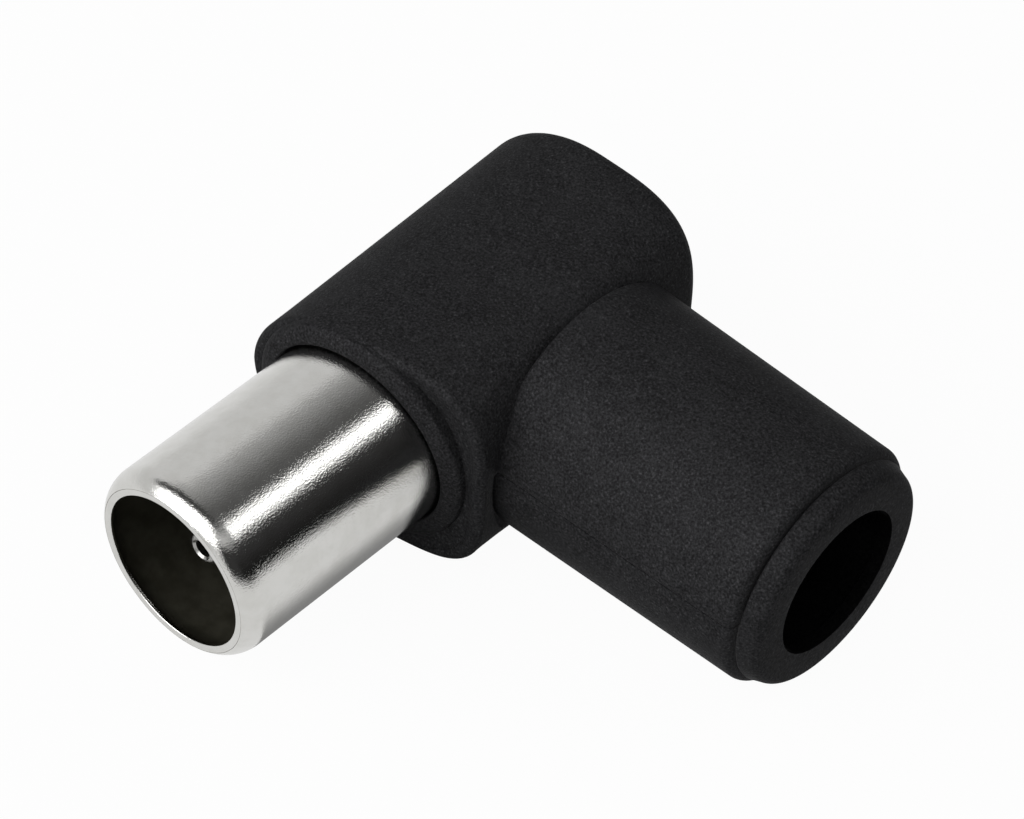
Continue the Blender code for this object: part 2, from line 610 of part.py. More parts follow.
def make_conductor_bar(material):
    """Square bar along the cable's axis that holds the pin's tail, the cable's wire and its screw."""
    half = BAR_SECTION / 2
    bar = box_between("conductor_bar", (-BAR_BACK_LENGTH, -half, -half), (BAR_END_X, half, half), material)
    tail = rod("pin_tail_hole", PIN_TAIL_D / 2 + FIT / 2, -BAR_SECTION, BAR_SECTION, PLUG_AXIS, SMALL_STEPS)
    shape_with(bar, tail, "DIFFERENCE")
    wire_start = BAR_END_X - BAR_WIRE_HOLE_DEPTH
    wire = rod("wire_hole", BAR_WIRE_HOLE_D / 2, wire_start, BAR_END_X + CUT_PAST, CABLE_AXIS, SMALL_STEPS)
    shape_with(bar, wire, "DIFFERENCE")
    upright = Matrix.Translation((SCREW_X, 0, 0))
    thread = rod("screw_hole", SCREW_D / 2 + FIT / 2, -BAR_SECTION, 0, upright, SMALL_STEPS)
    shape_with(bar, thread, "DIFFERENCE")
    return bake(bar)


def make_terminal_screw(material):
    """Slotted screw that comes up through the bar from below and ends at the wire."""
    shank_r, head_r = SCREW_D / 2, SCREW_HEAD_D / 2
    top = -BAR_WIRE_HOLE_D / 2 - FIT
    seat = -BAR_SECTION / 2 - FIT
    low = seat - SCREW_HEAD_HEIGHT
    points = [(0, low), (head_r, low), (head_r, seat), (shank_r, seat), (shank_r, top), (0, top)]
    screw = turned("terminal_screw", points, Matrix.Translation((SCREW_X, 0, 0)), material, SMALL_STEPS)
    half = SCREW_SLOT_WIDTH / 2
    start, end = SCREW_X - head_r - CUT_PAST, SCREW_X + head_r + CUT_PAST
    slot = box_between("screw_slot", (start, -half, low - CUT_PAST), (end, half, low + SCREW_SLOT_DEPTH))
    shape_with(screw, slot, "DIFFERENCE")
    return bake(screw)


def build():
    clear_scene()
    black = finish_material("black_moulding", (0.012, 0.012, 0.013), 0.62, 0.0)
    nickel = finish_material("nickel_plate", (0.72, 0.71, 0.68), 0.22, 1.0)
    brass = finish_material("bare_brass", (0.72, 0.52, 0.24), 0.32, 1.0)
    cast = finish_material("cast_screen", (0.55, 0.55, 0.56), 0.42, 1.0)
    white = finish_material("white_insulator", (0.78, 0.77, 0.72), 0.45, 0.0)
    steel = finish_material("screw_steel", (0.50, 0.50, 0.51), 0.30, 1.0)

    pieces = [
        make_housing(black),
        make_barrel_cover(black),
        make_end_ring(black),
        make_contact_sleeve(nickel),
        make_centre_pin(nickel),
        make_front_insulator(white),
        make_rear_insulator(white),
        make_screen_elbow(cast),
        make_braid_claw(nickel),
        make_conductor_bar(brass),
        make_terminal_screw(steel),
    ]

    # The empty stands where the two axes cross, above the middle of the plug's footprint
    block_height = max(z for loop in block_loops() for _, _, z in loop)
    crossing = bpy.data.objects.new("axes_crossing", None)
    bpy.context.scene.collection.objects.link(crossing)
    crossing.location = ((BLOCK_LEFT - RING_FACE_X) / 2, (SLEEVE_REACH - BLOCK_BACK) / 2, block_height)
    for piece in pieces:
        piece.parent = crossing


build()
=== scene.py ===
"""Looks of a right-angle coaxial aerial plug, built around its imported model."""

import math

import bmesh
import bpy
from mathutils import Matrix, Vector


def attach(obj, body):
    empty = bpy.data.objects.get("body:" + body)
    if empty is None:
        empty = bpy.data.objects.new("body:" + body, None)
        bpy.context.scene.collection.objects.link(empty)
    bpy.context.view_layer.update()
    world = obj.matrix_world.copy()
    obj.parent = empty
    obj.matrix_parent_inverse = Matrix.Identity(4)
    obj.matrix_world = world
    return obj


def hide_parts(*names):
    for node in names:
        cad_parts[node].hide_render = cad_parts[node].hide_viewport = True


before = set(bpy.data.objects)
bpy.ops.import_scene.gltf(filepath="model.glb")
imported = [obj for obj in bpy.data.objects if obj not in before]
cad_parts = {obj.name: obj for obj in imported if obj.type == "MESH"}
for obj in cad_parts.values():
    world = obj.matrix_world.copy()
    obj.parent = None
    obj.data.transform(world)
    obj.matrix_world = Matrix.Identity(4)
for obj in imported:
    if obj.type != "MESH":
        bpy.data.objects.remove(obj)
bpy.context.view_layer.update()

# Housing: the block and the upper half of the barrel are one black moulding with a fine spark texture.
# The block is round on its far side and square by the barrel, with a recess and a raised rim at the front.
# All of its sizes are in millimetres from the point where the sleeve's axis and the cable's axis cross.
MM = 0.001
CROSSING = Vector((-0.007125, 0.006025, 0.006575))
FINE_STEPS = 168
WELD = 0.000001
TO_MOUTH = Matrix(((1, 0, 0), (0, 0, -1), (0, 1, 0))).to_4x4()
TO_CABLE = Matrix(((0, 0, 1), (0, 1, 0), (-1, 0, 0))).to_4x4()

SLEEVE_HOLE_R = 4.8725
COLLAR_R = 5.8025
COLLAR_FACE = 8.58
COLLAR_LEAN = (0.07, -0.05)
COLLAR_LEAN_DEPTH = 1.6
COLLAR_DOME = 0.42
COLLAR_ROOT = 0.6
COLLAR_FOOT = 0.93
COLLAR_LIP = 0.06
COLLAR_STEP = 0.16
BORE_BACK = -5.45
BORE_CHAMFER = 0.3
BLOCK_FRONT = 7.70
BLOCK_BACK = 7.85
BLOCK_LEFT = 6.7025
BLOCK_RIGHTS = (6.1025, 6.1625)
BLOCK_HALF_HEIGHTS = (5.8625, 6.6225)
RIGHT_FLARE, FLARE_DEPTH = 0.72, 3.2
LEFT_SQUARENESS = (1.76, 2.1)
RIGHT_SQUARENESS = (3.6, 6.5, 3.2)
FRONT_ROUND = 0.42
FRONT_LEAD = 0.80
LEAD_SIDE = (-0.2, 0.95)
BACK_ROUND = 1.0
RECESS_WIDTH = 0.30
RECESS_DEPTH = 0.16
RECESS_SIDE = (0.42, 0.88)
BARREL_ROOT_X = 5.8525
BARREL_END_X = 19.80
BARREL_ROOT_R = 6.37
BARREL_END_R = 6.05
BARREL_EDGE = 0.42
BARREL_WALL_STEP = 0.22
CHAMBER_R = 4.85
CHAMBER_END_X = 17.5525
PASSAGE_R = 3.9
SPIGOT_R = 4.83
SPIGOT_TIP_X = 20.2025
BARB_HEIGHT = 0.15
BARB_FOOT, BARB_START, BARB_END = 0.38, 0.25, 0.15
SPLIT_HEIGHT = 0.85
SEAM = 0.05
COVER_FRONT_X = 6.1525
TONGUE_R = 5.27
TONGUE_TOP = 1.55
TONGUE_END_X = 17.1525


def add_piece(name, bm, finish=None):
    """Puts a mesh made in millimetres in its place, with round faces shaded smooth."""
    bmesh.ops.remove_doubles(bm, verts=bm.verts, dist=0.0005)
    bmesh.ops.recalc_face_normals(bm, faces=bm.faces)
    mesh = bpy.data.meshes.new(name)
    bm.to_mesh(mesh)
    bm.free()
    mesh.transform(Matrix.Translation(CROSSING) @ Matrix.Scale(MM, 4))
    mesh.shade_smooth()
    mesh.set_sharp_from_angle(angle=math.radians(30))
    piece = bpy.data.objects.new(name, mesh)
    if finish:
        mesh.materials.append(finish)
    bpy.context.scene.collection.objects.link(piece)
    return piece


def arc(centre_r, centre_t, radius_r, radius_t, start_deg, end_deg, steps=8):
    """Part of an ellipse in a turned profile, as points of radius and distance along the axis."""
    turns = [math.radians(start_deg + (end_deg - start_deg) * i / steps) for i in range(steps + 1)]
    return [(centre_r + radius_r * math.cos(a), centre_t + radius_t * math.sin(a)) for a in turns]


def circle(steps):
    """Cosine and sine of each step round a circle, rounded so that their zeros are exact."""
    turns = [2 * math.pi * i / steps for i in range(steps)]
    return [(round(math.cos(a), 12), round(math.sin(a), 12)) for a in turns]


def turned(name, profile, axis, finish=None, steps=FINE_STEPS):
    """A piece or a cutter made as on a lathe, from a closed profile."""
    bm = bmesh.new()
    rings = []
    for radius, along in profile:
        if radius < 1e-6:
            rings.append([bm.verts.new(axis @ Vector((0, 0, along)))])
        else:
            points = [Vector((radius * c, radius * s, along)) for c, s in circle(steps)]
            rings.append([bm.verts.new(axis @ point) for point in points])
    for first, second in zip(rings, rings[1:] + rings[:1]):
        if len(first) + len(second) == 2:
            continue
        for i in range(steps):
            j = (i + 1) % steps
            corners = [first[i % len(first)], first[j % len(first)]]
            corners += [second[j % len(second)], second[i % len(second)]]
            bm.faces.new(list(dict.fromkeys(corners)))
    return add_piece(name, bm, finish)


def rod(name, radius, start, end, axis):
    return turned(name, [(0, start), (radius, start), (radius, end), (0, end)], axis)


def slab(name, low_z, high_z, start_x=-30, end_x=30):
    bm = bmesh.new()
    place = Matrix.Translation(((start_x + end_x) / 2, 0, (low_z + high_z) / 2))
    stretch = Matrix.Diagonal((end_x - start_x, 60, high_z - low_z, 1))
    bmesh.ops.create_cube(bm, size=1, matrix=place @ stretch)
    return add_piece(name, bm)


def shape_with(piece, tool, operation):
    """Joins, cuts or trims a piece with a tool, which is then taken away."""
    change = piece.modifiers.new(operation, "BOOLEAN")
    change.operation, change.object, change.solver = operation, tool, "EXACT"
    graph = bpy.context.evaluated_depsgraph_get()
    mesh = bpy.data.meshes.new_from_object(piece.evaluated_get(graph))
    bm = bmesh.new()
    bm.from_mesh(mesh)
    bmesh.ops.remove_doubles(bm, verts=bm.verts, dist=WELD)
    bmesh.ops.dissolve_degenerate(bm, edges=bm.edges, dist=WELD)
    bm.to_mesh(mesh)
    bm.free()
    piece.modifiers.clear()
    piece.data = mesh
    bpy.data.objects.remove(tool, do_unlink=True)
    mesh.shade_smooth()
    mesh.set_sharp_from_angle(angle=math.radians(30))


def between(share, start, end):
    return start + share * (end - start)


def soft_step(value, low, high):
    share = min(1, max(0, (value - low) / (high - low)))
    return share * share * (3 - 2 * share)


def block_outline(y):
    """Outline of the block at a depth: direction, radius and how far each point faces the cable."""
    depth = y + BLOCK_FRONT
    share = depth / (BLOCK_FRONT + BLOCK_BACK)
    half_height = between(share, *BLOCK_HALF_HEIGHTS)
    right = between(share, *BLOCK_RIGHTS) + RIGHT_FLARE * math.exp(-depth / FLARE_DEPTH)
    if share < 0.5:
        right_power = between(2 * share, *RIGHT_SQUARENESS[:2])
    else:
        right_power = between((2 * share - 1) ** 2, *RIGHT_SQUARENESS[1:])
    left_power = between(share, *LEFT_SQUARENESS)
    for c, s in circle(FINE_STEPS):
        reach, power = (right, right_power) if c > 0 else (BLOCK_LEFT, left_power)
        radius = (abs(c / reach) ** power + abs(s / half_height) ** power) ** (-1 / power)
        yield c, s, radius, soft_step(c, *RECESS_SIDE)


def block_rim():
    """Insets and depths from the floor of the recess, over its crest and round to the block's side."""
    for i in range(8, 0, -1):
        turn = math.radians(90 * i / 8)
        yield FRONT_ROUND, 0, RECESS_WIDTH * math.sin(turn), RECESS_DEPTH * (1 - math.cos(turn))
    for i in range(9):
        turn = math.radians(90 * i / 8)
        yield FRONT_ROUND * (1 - math.sin(turn)), FRONT_ROUND * (1 - math.cos(turn)), 0, 0


def make_block(name, finish):
    """The block as a skin over its outlines: recess and rim, body, and the rounded edge of its back."""
    loops = []
    for inset, depth, inward, deep in block_rim():
        loop = []
        for c, s, radius, side in block_outline(-BLOCK_FRONT):
            r = radius - inset - inward * side
            lead = FRONT_LEAD * (1 - soft_step(c, *LEAD_SIDE))
            loop.append((r * c, depth + deep * side - BLOCK_FRONT - lead, r * s))
        loops.append(loop)
    start, end = 2 * FRONT_ROUND - BLOCK_FRONT, BLOCK_BACK - BACK_ROUND
    body_steps, back_steps = 30, 10
    for i in range(body_steps + 1):
        y = start + (end - start) * (i / body_steps) ** 1.3
        loops.append([(r * c, y, r * s) for c, s, r, _ in block_outline(y)])
    for i in range(1, back_steps + 1):
        turn = math.radians(90 * i / back_steps)
        y, inset = end + BACK_ROUND * math.sin(turn), BACK_ROUND * (1 - math.cos(turn))
        loops.append([((r - inset) * c, y, (r - inset) * s) for c, s, r, _ in block_outline(y)])
    bm = bmesh.new()
    rings = [[bm.verts.new(point) for point in loop] for loop in loops]
    for first, second in zip(rings, rings[1:]):
        for i in range(FINE_STEPS):
            j = (i + 1) % FINE_STEPS
            bm.faces.new((first[i], first[j], second[j], second[i]))
    middle = bm.verts.new((0, RECESS_DEPTH - BLOCK_FRONT, 0))
    for i in range(FINE_STEPS):
        bm.faces.new((middle, rings[0][i], rings[0][(i + 1) % FINE_STEPS]))
    bm.faces.new(rings[-1])
    return add_piece(name, bm, finish)


def barrel_profile():
    """The barrel with its core inside the block, its rounded end and the barbed spigot for the ring."""
    core_r, edge = CHAMBER_R + BARREL_WALL_STEP, BARREL_EDGE
    points = [(0, BARREL_ROOT_X / 2), (core_r, BARREL_ROOT_X / 2), (core_r, BARREL_ROOT_X)]
    points += arc(BARREL_ROOT_R - edge / 2, BARREL_ROOT_X + edge / 2, edge / 2, edge / 2, -90, 0)
    points += arc(BARREL_END_R - edge, BARREL_END_X - edge, edge, edge, 0, 90)
    points += [(SPIGOT_R, BARREL_END_X), (SPIGOT_R, SPIGOT_TIP_X - BARB_FOOT)]
    points += [(SPIGOT_R + BARB_HEIGHT, SPIGOT_TIP_X - at) for at in (BARB_START, BARB_END)]
    return points + [(SPIGOT_R, SPIGOT_TIP_X), (0, SPIGOT_TIP_X)]


def barrel_bore_profile():
    """The chamber for the screw and claw, and the narrower way in for the cable."""
    return [(0, 0), (CHAMBER_R, 0), (CHAMBER_R, CHAMBER_END_X), (PASSAGE_R, CHAMBER_END_X + 0.6),
            (PASSAGE_R, SPIGOT_TIP_X + 1), (0, SPIGOT_TIP_X + 1)]


def collar_profile():
    """The collar round the sleeve, with a domed edge and a small step down at the sleeve."""
    root, lip_r = BLOCK_FRONT - COLLAR_ROOT, SLEEVE_HOLE_R + COLLAR_LIP
    step = COLLAR_FACE - COLLAR_STEP
    points = [(0, 0), (SLEEVE_HOLE_R, 0), (SLEEVE_HOLE_R, root - COLLAR_FOOT), (COLLAR_R, root)]
    points += arc(lip_r, COLLAR_FACE - COLLAR_DOME, COLLAR_R - lip_r, COLLAR_DOME, 0, 90, 14)
    return points + [(SLEEVE_HOLE_R - 0.1, step), (0, step)]


def lean_back(piece, slopes, start):
    """Leans the face of a piece that points to the mouth, past a depth."""
    for vertex in piece.data.vertices:
        x, y, z = (vertex.co - CROSSING) / MM
        share = min(1, max(0, -y - start))
        vertex.co.y += share * (slopes[0] * x + slopes[1] * z) * MM


def sleeve_bore_profile():
    """The hole for the sleeve, from its chamfered bottom inside the block to past the collar's face."""
    back, end = BORE_BACK, COLLAR_FACE + 1
    return [(0, back), (SLEEVE_HOLE_R - BORE_CHAMFER, back), (SLEEVE_HOLE_R, back + BORE_CHAMFER),
            (SLEEVE_HOLE_R, end), (0, end)]


class Shade:
    """A number, colour or vector that a node gives. Signs between shades add Math nodes."""

    def __init__(self, tree, output=None):
        self.tree, self.output = tree, output

    def node(self, kind, settings=None, values=None, output=0):
        """Adds any node: its settings first, then the values or links of its sockets."""
        made = self.tree.nodes.new("ShaderNode" + kind)
        for name, setting in (settings or {}).items():
            if name == "stops":
                ramp = made.color_ramp
                while len(ramp.elements) < len(setting):
                    ramp.elements.new(1)
                for element, (place, colour) in zip(ramp.elements, setting):
                    element.position, element.color = place, colour
            else:
                setattr(made, name, setting)
        for name, value in (values or {}).items():
            if isinstance(value, Shade):
                self.tree.links.new(value.output, made.inputs[name])
            else:
                made.inputs[name].default_value = value
        return Shade(self.tree, made.outputs[output] if made.outputs else None)

    def math(self, operation, *terms):
        return self.node("Math", {"operation": operation}, dict(enumerate(terms)))

    def mix(self, low, high):
        """Colour between two colours, with this shade as the share of the second."""
        return self.node("Mix", {"data_type": "RGBA"}, {0: self, 6: low, 7: high}, 2)

    def band(self, low, high):
        """0 below the first value and 1 above the second, with a soft change between them."""
        settings = {"interpolation_type": "SMOOTHSTEP"}
        return self.node("MapRange", settings, {"Value": self, "From Min": low, "From Max": high})

    def __add__(self, other):
        return self.math("ADD", self, other)

    def __radd__(self, other):
        return self.math("ADD", other, self)

    def __sub__(self, other):
        return self.math("SUBTRACT", self, other)

    def __rsub__(self, other):
        return self.math("SUBTRACT", other, self)

    def __mul__(self, other):
        return self.math("MULTIPLY", self, other)

    def __rmul__(self, other):
        return self.math("MULTIPLY", other, self)


def new_finish(name):
    """An empty material and the shade that its nodes start from."""
    finish = bpy.data.materials.new(name)
    finish.use_nodes = True
    finish.node_tree.nodes.clear()
    return finish, Shade(finish.node_tree)


def spark_moulding(name, tone, grain=1.0, sheen=0.012):
    """Black plastic from a spark-eroded mould: fine even pits with small bright flecks, and a faint mottle.

    A small metallic share with a dark edge tint gives its low sheen, which stays dark at grazing angles.
    """
    finish, shade = new_finish(name)
    place = shade.node("TexCoord", output="Object")
    pits = shade.node("TexNoise", values={"Vector": place, "Scale": 9000, "Detail": 3, "Roughness": 0.65})
    coarse = shade.node("TexNoise", values={"Vector": place, "Scale": 4200, "Detail": 2, "Roughness": 0.5})
    mottle = shade.node("TexNoise", values={"Vector": place, "Scale": 650, "Detail": 3, "Roughness": 0.6})
    fleck = pits.band(0.60, 0.72)
    dark = (tone * 0.42, tone * 0.42, tone * 0.44, 1)
    light = (tone * 1.58, tone * 1.58, tone * 1.66, 1)
    even = (mottle * 0.15 + pits * 0.85).band(0.30, 0.70).mix(dark, light)
    colour = (fleck * 0.6 * grain).mix(even, (tone * 3.4, tone * 3.4, tone * 3.6, 1))
    height = pits * 0.6 + coarse * 0.4
    bump = shade.node("Bump", values={"Strength": 1.0, "Distance": 0.000045 * grain, "Height": height})
    surface = shade.node("BsdfPrincipled", values={
        "Base Color": colour, "Roughness": 0.46 + 0.10 * pits - 0.06 * fleck, "Metallic": 0.2,
        "Specular IOR Level": sheen, "Specular Tint": (0.15, 0.15, 0.15, 1), "Normal": bump})
    shade.node("OutputMaterial", values={"Surface": surface})
    return finish


black_moulding = spark_moulding("black_moulding", 0.0200)
# Painted shade: a darker, sheenless copy of the moulding for the bore's walls and the ring's joint, where shade
# falls.
bore_painted_shade = spark_moulding("bore_painted_shade", 0.0024, 0.4, 0.0)


def paint_bore_shade(piece):
    """Paints shade on the cable's bore walls and the ring's joint in it: a deeper black material stands in for
    their shade.
    """
    piece.data.materials.append(bore_painted_shade)
    for face in piece.data.polygons:
        off = (face.center - CROSSING) * Vector((0, 1, 1))
        along = (face.center.x - CROSSING.x) / MM
        wall = off.length < (CHAMBER_R + 0.12) * MM and off.dot(face.normal) < -0.3 * off.length
        joint_in_shade = BARREL_END_X + 0.05 < along < SPIGOT_TIP_X + 0.2 and off.length < (SPIGOT_R + 0.3) * MM
        if along > BARREL_ROOT_X and (wall or joint_in_shade):
            face.material_index = len(piece.data.materials) - 1


housing = make_block("housing_moulding", black_moulding)
shape_with(housing, turned("barrel_blank", barrel_profile(), TO_CABLE), "UNION")
collar = turned("collar_blank", collar_profile(), TO_MOUTH)
lean_back(collar, COLLAR_LEAN, BLOCK_FRONT - COLLAR_LEAN_DEPTH)
shape_with(housing, collar, "UNION")
bores = turned("sleeve_bore", sleeve_bore_profile(), TO_MOUTH)
shape_with(bores, turned("barrel_bore", barrel_bore_profile(), TO_CABLE), "UNION")
shape_with(housing, bores, "DIFFERENCE")
cover_space = rod("cover_space", BARREL_ROOT_R + 0.3, COVER_FRONT_X, SPIGOT_TIP_X + 1, TO_CABLE)
shape_with(cover_space, slab("space_top", SPLIT_HEIGHT, 30), "DIFFERENCE")
shape_with(housing, cover_space, "DIFFERENCE")
rebate = rod("tongue_rebate", TONGUE_R + SEAM, COVER_FRONT_X - 0.3, TONGUE_END_X + SEAM, TO_CABLE)
shape_with(rebate, slab("rebate_band", SPLIT_HEIGHT - 0.175, TONGUE_TOP), "INTERSECT")
shape_with(housing, rebate, "DIFFERENCE")
paint_bore_shade(housing)
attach(housing, "root")
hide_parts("housing")

# Barrel cover: the lower half of the barrel, moulded in the same black plastic.
# Its tongues stand in a rebate inside the housing, and its edge leaves the fine seam along the barrel.
cover_front = COVER_FRONT_X + SEAM
cover = turned("barrel_cover_moulding", barrel_profile(), TO_CABLE, black_moulding)
shape_with(cover, slab("cover_top", SPLIT_HEIGHT - SEAM, 30), "DIFFERENCE")
tongue = rod("tongue_blank", TONGUE_R, cover_front, TONGUE_END_X, TO_CABLE)
shape_with(tongue, slab("tongue_top", TONGUE_TOP - SEAM, 30), "DIFFERENCE")
shape_with(cover, tongue, "UNION")
shape_with(cover, turned("cover_bore", barrel_bore_profile(), TO_CABLE), "DIFFERENCE")
shape_with(cover, slab("cover_face", -30, 30, -30, cover_front), "DIFFERENCE")
paint_bore_shade(cover)
cover.visible_glossy = False
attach(cover, "root")
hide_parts("barrel_cover")

# End ring: a black moulded ring that clips over the spigot at the barrel's end.
# It has a broad rounded edge outside and a narrow one round the cable's hole.
RING_R, RING_FRONT_R, RING_HOLE_R = 5.68, 5.52, 3.65
RING_INNER_X, RING_FACE_X = 19.90, 20.9525
RING_EDGE, RING_INNER_EDGE, RING_CHAMFER = 0.55, 0.14, 0.07
RING_CLEARANCE = 0.12
POCKET_R, POCKET_FLOOR, POCKET_START = 5.1, 20.3225, 19.93

ring_points = [(RING_HOLE_R, POCKET_FLOOR), (POCKET_R, POCKET_FLOOR), (POCKET_R, POCKET_START)]
ring_points += [(SPIGOT_R + RING_CLEARANCE, POCKET_START - 0.02), (SPIGOT_R + RING_CLEARANCE, RING_INNER_X)]
ring_points += arc(RING_R - RING_INNER_EDGE, RING_INNER_X + RING_INNER_EDGE, RING_INNER_EDGE, RING_INNER_EDGE,
                   -90, 0, 6)
ring_points += arc(RING_FRONT_R - RING_EDGE, RING_FACE_X - RING_EDGE, RING_EDGE, RING_EDGE, 12, 76, 12)
ring_points += arc(RING_HOLE_R + RING_CHAMFER, RING_FACE_X - RING_CHAMFER, -RING_CHAMFER, RING_CHAMFER,
                   90, 0, 6)
ring = turned("end_ring_moulding", ring_points, TO_CABLE, spark_moulding("ring_moulding", 0.0186, 0.8))
paint_bore_shade(ring)
ring.visible_glossy = False
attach(ring, "root")
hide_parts("end_ring")

# Contact sleeve: a drawn brass tube, bright nickel plated, with its mouth rolled in to a flat rim.
# The plating follows the fine grain of the drawn tube outside, and the tube's inside carries painted shade,
# dark and dull.
SLEEVE_R, SLEEVE_INNER_R, SLEEVE_TAIL, SLEEVE_REACH = 4.7625, 4.3625, 4.6, 19.9
LIP_HOLE_R, LIP_RIM, LIP_ROUND, LIP_NOSE = 3.8625, 0.36, 1.15, 0.06
CREASE_DEG, GROOVE_WIDTH, GROOVE_DEPTH = 60, 0.024, 0.035
LIP_WALL, NOSE_START = 0.15, 19.7


def bright_nickel(name, grain=1.0, lit_and_polished=1.0):
    """Nickel plate over a drawn surface: a fine grain that breaks up the edges of its reflections."""
    finish, shade = new_finish(name)
    place = shade.node("TexCoord", output="Object")
    pebbles = shade.node("TexNoise", values={"Vector": place, "Scale": 12500, "Detail": 2, "Roughness": 0.6})
    drawn = shade.node("Mapping", values={"Vector": place, "Scale": (1, 0.3, 1)})
    lines = shade.node("TexNoise", values={"Vector": drawn, "Scale": 6500, "Detail": 2, "Roughness": 0.5})
    haze = shade.node("TexNoise", values={"Vector": place, "Scale": 900, "Detail": 3, "Roughness": 0.6})
    metals = (0.62, 0.615, 0.59), (0.67, 0.665, 0.645)
    # A last value below 1 darkens the plate as painted shade and makes it rougher.
    plate, polish = [[tone * lit_and_polished for tone in metal] + [1] for metal in metals]
    colour = haze.band(0.3, 0.7).mix(plate, polish)
    height = pebbles * 0.85 + lines * 0.15
    bump = shade.node("Bump", values={"Strength": 1.0, "Distance": 0.0000115 * grain, "Height": height})
    roughness = 0.065 + 0.05 * haze + (1 - lit_and_polished) * 0.3
    surface = shade.node("BsdfPrincipled", values={
        "Base Color": colour, "Metallic": 1.0, "Roughness": roughness, "Normal": bump})
    shade.node("OutputMaterial", values={"Surface": surface})
    return finish


def painted_shade_inside(name):
    """Painted shade inside the tube: a dark, dull metal stands in for the shade on the inner wall."""
    finish, shade = new_finish(name)
    place = shade.node("TexCoord", output="Object")
    residue = shade.node("TexNoise", values={"Vector": place, "Scale": 800, "Detail": 3, "Roughness": 0.6})
    fine = shade.node("TexNoise", values={"Vector": place, "Scale": 9000, "Detail": 2, "Roughness": 0.5})
    colour = residue.band(0.3, 0.7).mix((0.034, 0.032, 0.023, 1), (0.056, 0.053, 0.040, 1))
    bump = shade.node("Bump", values={"Strength": 0.5, "Distance": 0.000004, "Height": fine})
    surface = shade.node("BsdfPrincipled", values={
        "Base Color": colour, "Metallic": 0.6, "Roughness": 0.45 + 0.15 * residue, "Specular IOR Level": 0.2,
        "Normal": bump})
    shade.node("OutputMaterial", values={"Surface": surface})
    return finish


lip_start, rim_r = SLEEVE_REACH - LIP_ROUND, LIP_HOLE_R + LIP_RIM
lip_stretch = LIP_ROUND / math.sin(math.radians(CREASE_DEG))
sleeve_points = [(SLEEVE_INNER_R, SLEEVE_TAIL), (SLEEVE_R, SLEEVE_TAIL), (SLEEVE_R, lip_start - 1)]
sleeve_points += arc(SLEEVE_R - 2 * (SLEEVE_R - rim_r), lip_start, 2 * (SLEEVE_R - rim_r), lip_stretch,
                     0, CREASE_DEG, 28)
sleeve_points += [(rim_r - GROOVE_WIDTH / 2, SLEEVE_REACH - GROOVE_DEPTH), (rim_r - GROOVE_WIDTH, SLEEVE_REACH)]
sleeve_points += arc(LIP_HOLE_R + LIP_NOSE, SLEEVE_REACH - LIP_NOSE, -LIP_NOSE, LIP_NOSE, 90, 0, 6)
sleeve_points += arc(LIP_HOLE_R, lip_start, SLEEVE_INNER_R - LIP_HOLE_R, LIP_ROUND - LIP_WALL, 90, 0, 12)
sleeve = turned("contact_sleeve_tube", sleeve_points, TO_MOUTH, bright_nickel("sleeve_nickel"), 224)
sleeve.data.materials.append(painted_shade_inside("sleeve_painted_shade"))
# Painted shade: the faces of the inner wall, back from the nose, take the dark inside finish.
for face in sleeve.data.polygons:
    off = face.center - CROSSING
    if off.x * face.normal.x + off.z * face.normal.z < -0.5 * MM and off.y > -NOSE_START * MM:
        face.material_index = 1
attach(sleeve, "root")
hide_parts("contact_sleeve")

# Centre pin: turned brass, nickel plated, with a drilled and domed tip and a shoulder behind the insulator.
# Its tail runs back through the insulator into the conductor bar.
PIN_R, PIN_HOLE_R, PIN_TAIL_R, PIN_SHOULDER_R = 1.17, 0.425, 0.7, 1.6
PIN_TIP, PIN_DOME, PIN_HOLE_DEPTH, PIN_SHOULDER, PIN_TAIL = 18.15, 1.3, 3.0, 7.0, -1.4

pin_rim_r = PIN_HOLE_R + 0.1
pin_points = [(0, PIN_TAIL), (PIN_TAIL_R, PIN_TAIL), (PIN_TAIL_R, PIN_SHOULDER - 1)]
pin_points += [(PIN_SHOULDER_R, PIN_SHOULDER - 1), (PIN_SHOULDER_R, PIN_SHOULDER), (PIN_R, PIN_SHOULDER)]
pin_points += [(PIN_R, PIN_TIP - PIN_DOME - 1)]
pin_points += arc(pin_rim_r, PIN_TIP - PIN_DOME, PIN_R - pin_rim_r, PIN_DOME, 0, 90, 20)
pin_points += [(PIN_HOLE_R, PIN_TIP - 0.1), (PIN_HOLE_R, PIN_TIP - PIN_HOLE_DEPTH)]
pin_points += [(0, PIN_TIP - PIN_HOLE_DEPTH - PIN_HOLE_R)]
# Painted shade: the pin's nickel is darkened to 55 % because it stands deep in the sleeve, in its shade.
pin = turned("centre_pin_turning", pin_points, TO_MOUTH, bright_nickel("pin_nickel_painted_shade", 0.5, 0.55), 96)
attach(pin, "root")
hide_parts("centre_pin")

# Insulators: two off-white mouldings that keep the pin and its bar clear of the screen.
# The front one is a disc in the sleeve, and the rear one fills the elbow behind it.


def cloudy_moulding(name):
    """Off-white plastic with a soft sheen and a faint cloudiness from the mould."""
    finish, shade = new_finish(name)
    place = shade.node("TexCoord", output="Object")
    cloud = shade.node("TexNoise", values={"Vector": place, "Scale": 600, "Detail": 3, "Roughness": 0.55})
    skin = shade.node("TexNoise", values={"Vector": place, "Scale": 6000, "Detail": 2, "Roughness": 0.5})
    colour = cloud.band(0.3, 0.7).mix((0.66, 0.64, 0.57, 1), (0.78, 0.77, 0.71, 1))
    bump = shade.node("Bump", values={"Strength": 0.4, "Distance": 0.000006, "Height": skin})
    surface = shade.node("BsdfPrincipled", values={
        "Base Color": colour, "Roughness": 0.38 + 0.14 * skin, "Normal": bump})
    shade.node("OutputMaterial", values={"Surface": surface})
    return finish


